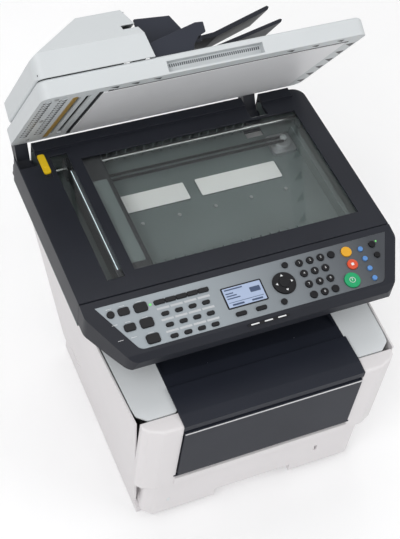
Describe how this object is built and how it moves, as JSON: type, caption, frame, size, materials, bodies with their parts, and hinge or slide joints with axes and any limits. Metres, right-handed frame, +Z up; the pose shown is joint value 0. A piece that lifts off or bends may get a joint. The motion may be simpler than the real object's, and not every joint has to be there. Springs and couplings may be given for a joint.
{
  "type": "laser multifunction printer",
  "caption": "Desktop laser multifunction printer with its flatbed scanner cover and document feeder swung open, front multipurpose tray, paper drawer and tilted control panel.",
  "frame": {"origin": "on the surface the printer stands on, under the seam between the scanner deck and the control panel, midway across the deck", "axes": "+X to the right as the user faces the panel, +Y to the rear, +Z up"},
  "size_m": [0.4895, 0.5494, 0.64],
  "materials": {
    "charcoal_plastic": "satin",
    "dark_panel": "semi gloss",
    "warm_white_plastic": "fine texture",
    "cool_white_plastic": "fine texture",
    "plate_grey": "satin",
    "black_plastic": "satin",
    "key_black": "semi gloss",
    "key_green": "semi gloss",
    "key_red": "semi gloss",
    "key_yellow": "semi gloss",
    "key_blue": "semi gloss",
    "tab_yellow": "semi gloss",
    "lcd_blue": "smooth",
    "clear_glass": "polished",
    "pad_white": "smooth",
    "steel": "ground",
    "frame_steel": "zinc plated",
    "roller_rubber": "matte",
    "drum_green": "coated",
    "bed_grey": "satin"
  },
  "bodies": {
    "printer_body": {"base_frame": "warm_white_plastic", "engine_frame": "frame_steel", "side_cover_left": "warm_white_plastic", "side_cover_right": "warm_white_plastic", "rear_panel": "warm_white_plastic", "rear_sockets": "black_plastic", "main_motor": "black_plastic", "drum_case": "black_plastic", "toner_container": "black_plastic", "laser_unit": "black_plastic", "fuser_unit": "black_plastic", "output_tray": "dark_panel", "top_panel_left": "cool_white_plastic", "top_panel_right": "cool_white_plastic", "deck_frame": "charcoal_plastic", "scanner_pan": "bed_grey", "scan_glasses": "clear_glass", "carriage_rod": "steel", "scan_motor": "frame_steel", "hinge_base": "charcoal_plastic", "control_housing": "charcoal_plastic", "control_plate": "plate_grey", "lcd_window": "lcd_blue"},
    "scanner_cover": {"cover_shell": "cool_white_plastic", "cover_frame": "cool_white_plastic", "cover_pad": "pad_white", "hinge_arms": "charcoal_plastic", "feed_unit": "black_plastic", "document_tray": "black_plastic", "eject_tray": "charcoal_plastic"},
    "feeder_lid": {"feeder_cover": "cool_white_plastic"},
    "feed_roll": {"feed_roller": "roller_rubber"},
    "upper_stop": {"upper_flap": "charcoal_plastic"},
    "lower_stop": {"lower_flap": "charcoal_plastic"},
    "front_guide": {"width_guide_front": "black_plastic"},
    "rear_guide": {"width_guide_rear": "black_plastic"},
    "carriage": {"scan_carriage": "black_plastic"},
    "lock": {"lock_tab": "tab_yellow"},
    "rear_flap": {"rear_door": "warm_white_plastic"},
    "paper_cassette": {"cassette": "warm_white_plastic"},
    "paper_lift": {"lift_plate": "steel"},
    "paper_stop": {"end_guide": "black_plastic"},
    "front_door": {"front_cover": "warm_white_plastic", "front_lip": "dark_panel"},
    "manual_tray": {"mp_tray": "dark_panel"},
    "drum": {"drum_roller": "drum_green"},
    "gear": {"drive_gear": "frame_steel"},
    "pickup": {"pickup_roller": "roller_rubber"},
    "exit_roll": {"exit_roller": "steel"},
    "mode_keys_body": {"mode_keys": "key_black"},
    "soft_keys_body": {"soft_keys": "key_black"},
    "power_keys_body": {"power_keys": "key_black"},
    "touch_keys_body": {"touch_keys": "key_black"},
    "number_keys_body": {"number_keys": "key_black"},
    "quick_keys_body": {"quick_keys": "key_blue"},
    "start_key_body": {"start_key": "key_green"},
    "stop_key_body": {"stop_key": "key_red"},
    "reset_key_body": {"reset_key": "key_yellow"},
    "nav_ring_body": {"nav_ring": "key_black"},
    "ok_key_body": {"ok_key": "key_black"}
  },
  "joints": [
    {"name": "scanner_cover_hinge", "type": "hinge", "parent": "printer_body", "child": "scanner_cover", "pos_m": [0, 0.2904, 0.3447], "axis": [-1, 0, 0], "range_deg": [-58, 12]},
    {"name": "feeder_lid_hinge", "type": "hinge", "parent": "scanner_cover", "child": "feeder_lid", "pos_m": [-0.2395, 0.25684, 0.52466], "axis": [0, -0.5299, 0.848], "range_deg": [0, 60]},
    {"name": "feed_roller_shaft", "type": "hinge", "parent": "scanner_cover", "child": "feed_roll", "pos_m": [-0.159, 0.2699, 0.53282], "axis": [0, 0.5299, -0.848], "continuous": true},
    {"name": "upper_flap_hinge", "type": "hinge", "parent": "scanner_cover", "child": "upper_stop", "pos_m": [0.009, 0.26248, 0.55413], "axis": [0, -0.5299, 0.848], "range_deg": [0, 40]},
    {"name": "lower_flap_hinge", "type": "hinge", "parent": "scanner_cover", "child": "lower_stop", "pos_m": [-0.002, 0.24424, 0.54273], "axis": [0, -0.5299, 0.848], "range_deg": [-4, 4]},
    {"name": "front_guide_slide", "type": "slide", "parent": "scanner_cover", "child": "front_guide", "axis": [0, 0.5299, -0.848], "range_m": [0, 0.062]},
    {"name": "rear_guide_slide", "type": "slide", "parent": "scanner_cover", "child": "rear_guide", "axis": [0, -0.5299, 0.848], "range_m": [0, 0.062]},
    {"name": "carriage_slide", "type": "slide", "parent": "printer_body", "child": "carriage", "axis": [1, 0, 0], "range_m": [0, 0.322]},
    {"name": "lock_tab_slide", "type": "slide", "parent": "printer_body", "child": "lock", "axis": [0, -1, 0], "range_m": [0, 0.008]},
    {"name": "rear_door_hinge", "type": "hinge", "parent": "printer_body", "child": "rear_flap", "pos_m": [0, 0.1998, 0.07], "axis": [-1, 0, 0], "range_deg": [0, 70]},
    {"name": "cassette_slide", "type": "slide", "parent": "printer_body", "child": "paper_cassette", "axis": [0, 1, 0], "range_m": [-0.27, 0]},
    {"name": "lift_plate_hinge", "type": "hinge", "parent": "paper_cassette", "child": "paper_lift", "pos_m": [0, 0.03, 0.0215], "axis": [-1, 0, 0], "range_deg": [0, 12]},
    {"name": "end_guide_slide", "type": "slide", "parent": "paper_cassette", "child": "paper_stop", "axis": [0, 1, 0], "range_m": [-0.05, 0.02]},
    {"name": "front_cover_hinge", "type": "hinge", "parent": "printer_body", "child": "front_door", "pos_m": [0, -0.1644, 0.1102], "axis": [1, 0, 0], "range_deg": [0, 80]},
    {"name": "manual_tray_hinge", "type": "hinge", "parent": "front_door", "child": "manual_tray", "pos_m": [0, -0.1665, 0.127], "axis": [-1, 0, 0], "range_deg": [-75, 0]},
    {"name": "drum_shaft", "type": "hinge", "parent": "printer_body", "child": "drum", "pos_m": [0, -0.018, 0.144], "axis": [1, 0, 0], "continuous": true},
    {"name": "gear_shaft", "type": "hinge", "parent": "printer_body", "child": "gear", "pos_m": [0.19, 0.066, 0.148], "axis": [1, 0, 0], "continuous": true},
    {"name": "pickup_shaft", "type": "hinge", "parent": "printer_body", "child": "pickup", "pos_m": [0, -0.108, 0.128], "axis": [1, 0, 0], "continuous": true},
    {"name": "exit_shaft", "type": "hinge", "parent": "printer_body", "child": "exit_roll", "pos_m": [0, 0.158, 0.25], "axis": [1, 0, 0], "continuous": true},
    {"name": "mode_keys_press", "type": "slide", "parent": "printer_body", "child": "mode_keys_body", "axis": [0, 0.1564, -0.9877], "range_m": [0, 0.001], "stiffness_N_per_m": 400},
    {"name": "soft_keys_press", "type": "slide", "parent": "printer_body", "child": "soft_keys_body", "axis": [0, 0.1564, -0.9877], "range_m": [0, 0.001], "stiffness_N_per_m": 400},
    {"name": "power_keys_press", "type": "slide", "parent": "printer_body", "child": "power_keys_body", "axis": [0, 0.1564, -0.9877], "range_m": [0, 0.001], "stiffness_N_per_m": 400},
    {"name": "touch_keys_press", "type": "slide", "parent": "printer_body", "child": "touch_keys_body", "axis": [0, 0.1564, -0.9877], "range_m": [0, 0.001], "stiffness_N_per_m": 400},
    {"name": "number_keys_press", "type": "slide", "parent": "printer_body", "child": "number_keys_body", "axis": [0, 0.1564, -0.9877], "range_m": [0, 0.001], "stiffness_N_per_m": 400},
    {"name": "quick_keys_press", "type": "slide", "parent": "printer_body", "child": "quick_keys_body", "axis": [0, 0.1564, -0.9877], "range_m": [0, 0.001], "stiffness_N_per_m": 400},
    {"name": "start_key_press", "type": "slide", "parent": "printer_body", "child": "start_key_body", "axis": [0, 0.1564, -0.9877], "range_m": [0, 0.001], "stiffness_N_per_m": 400},
    {"name": "stop_key_press", "type": "slide", "parent": "printer_body", "child": "stop_key_body", "axis": [0, 0.1564, -0.9877], "range_m": [0, 0.001], "stiffness_N_per_m": 400},
    {"name": "reset_key_press", "type": "slide", "parent": "printer_body", "child": "reset_key_body", "axis": [0, 0.1564, -0.9877], "range_m": [0, 0.001], "stiffness_N_per_m": 400},
    {"name": "nav_ring_press", "type": "slide", "parent": "printer_body", "child": "nav_ring_body", "axis": [0, 0.1564, -0.9877], "range_m": [0, 0.001], "stiffness_N_per_m": 400},
    {"name": "ok_key_press", "type": "slide", "parent": "printer_body", "child": "ok_key_body", "axis": [0, 0.1564, -0.9877], "range_m": [0, 0.001], "stiffness_N_per_m": 400}
  ],
  "couplings": [
    {"joint": "rear_guide_slide", "follows": "front_guide_slide", "ratio": 1},
    {"joint": "gear_shaft", "follows": "drum_shaft", "ratio": -0.6},
    {"joint": "pickup_shaft", "follows": "drum_shaft", "ratio": -1.25},
    {"joint": "exit_shaft", "follows": "drum_shaft", "ratio": 2.5}
  ]
}
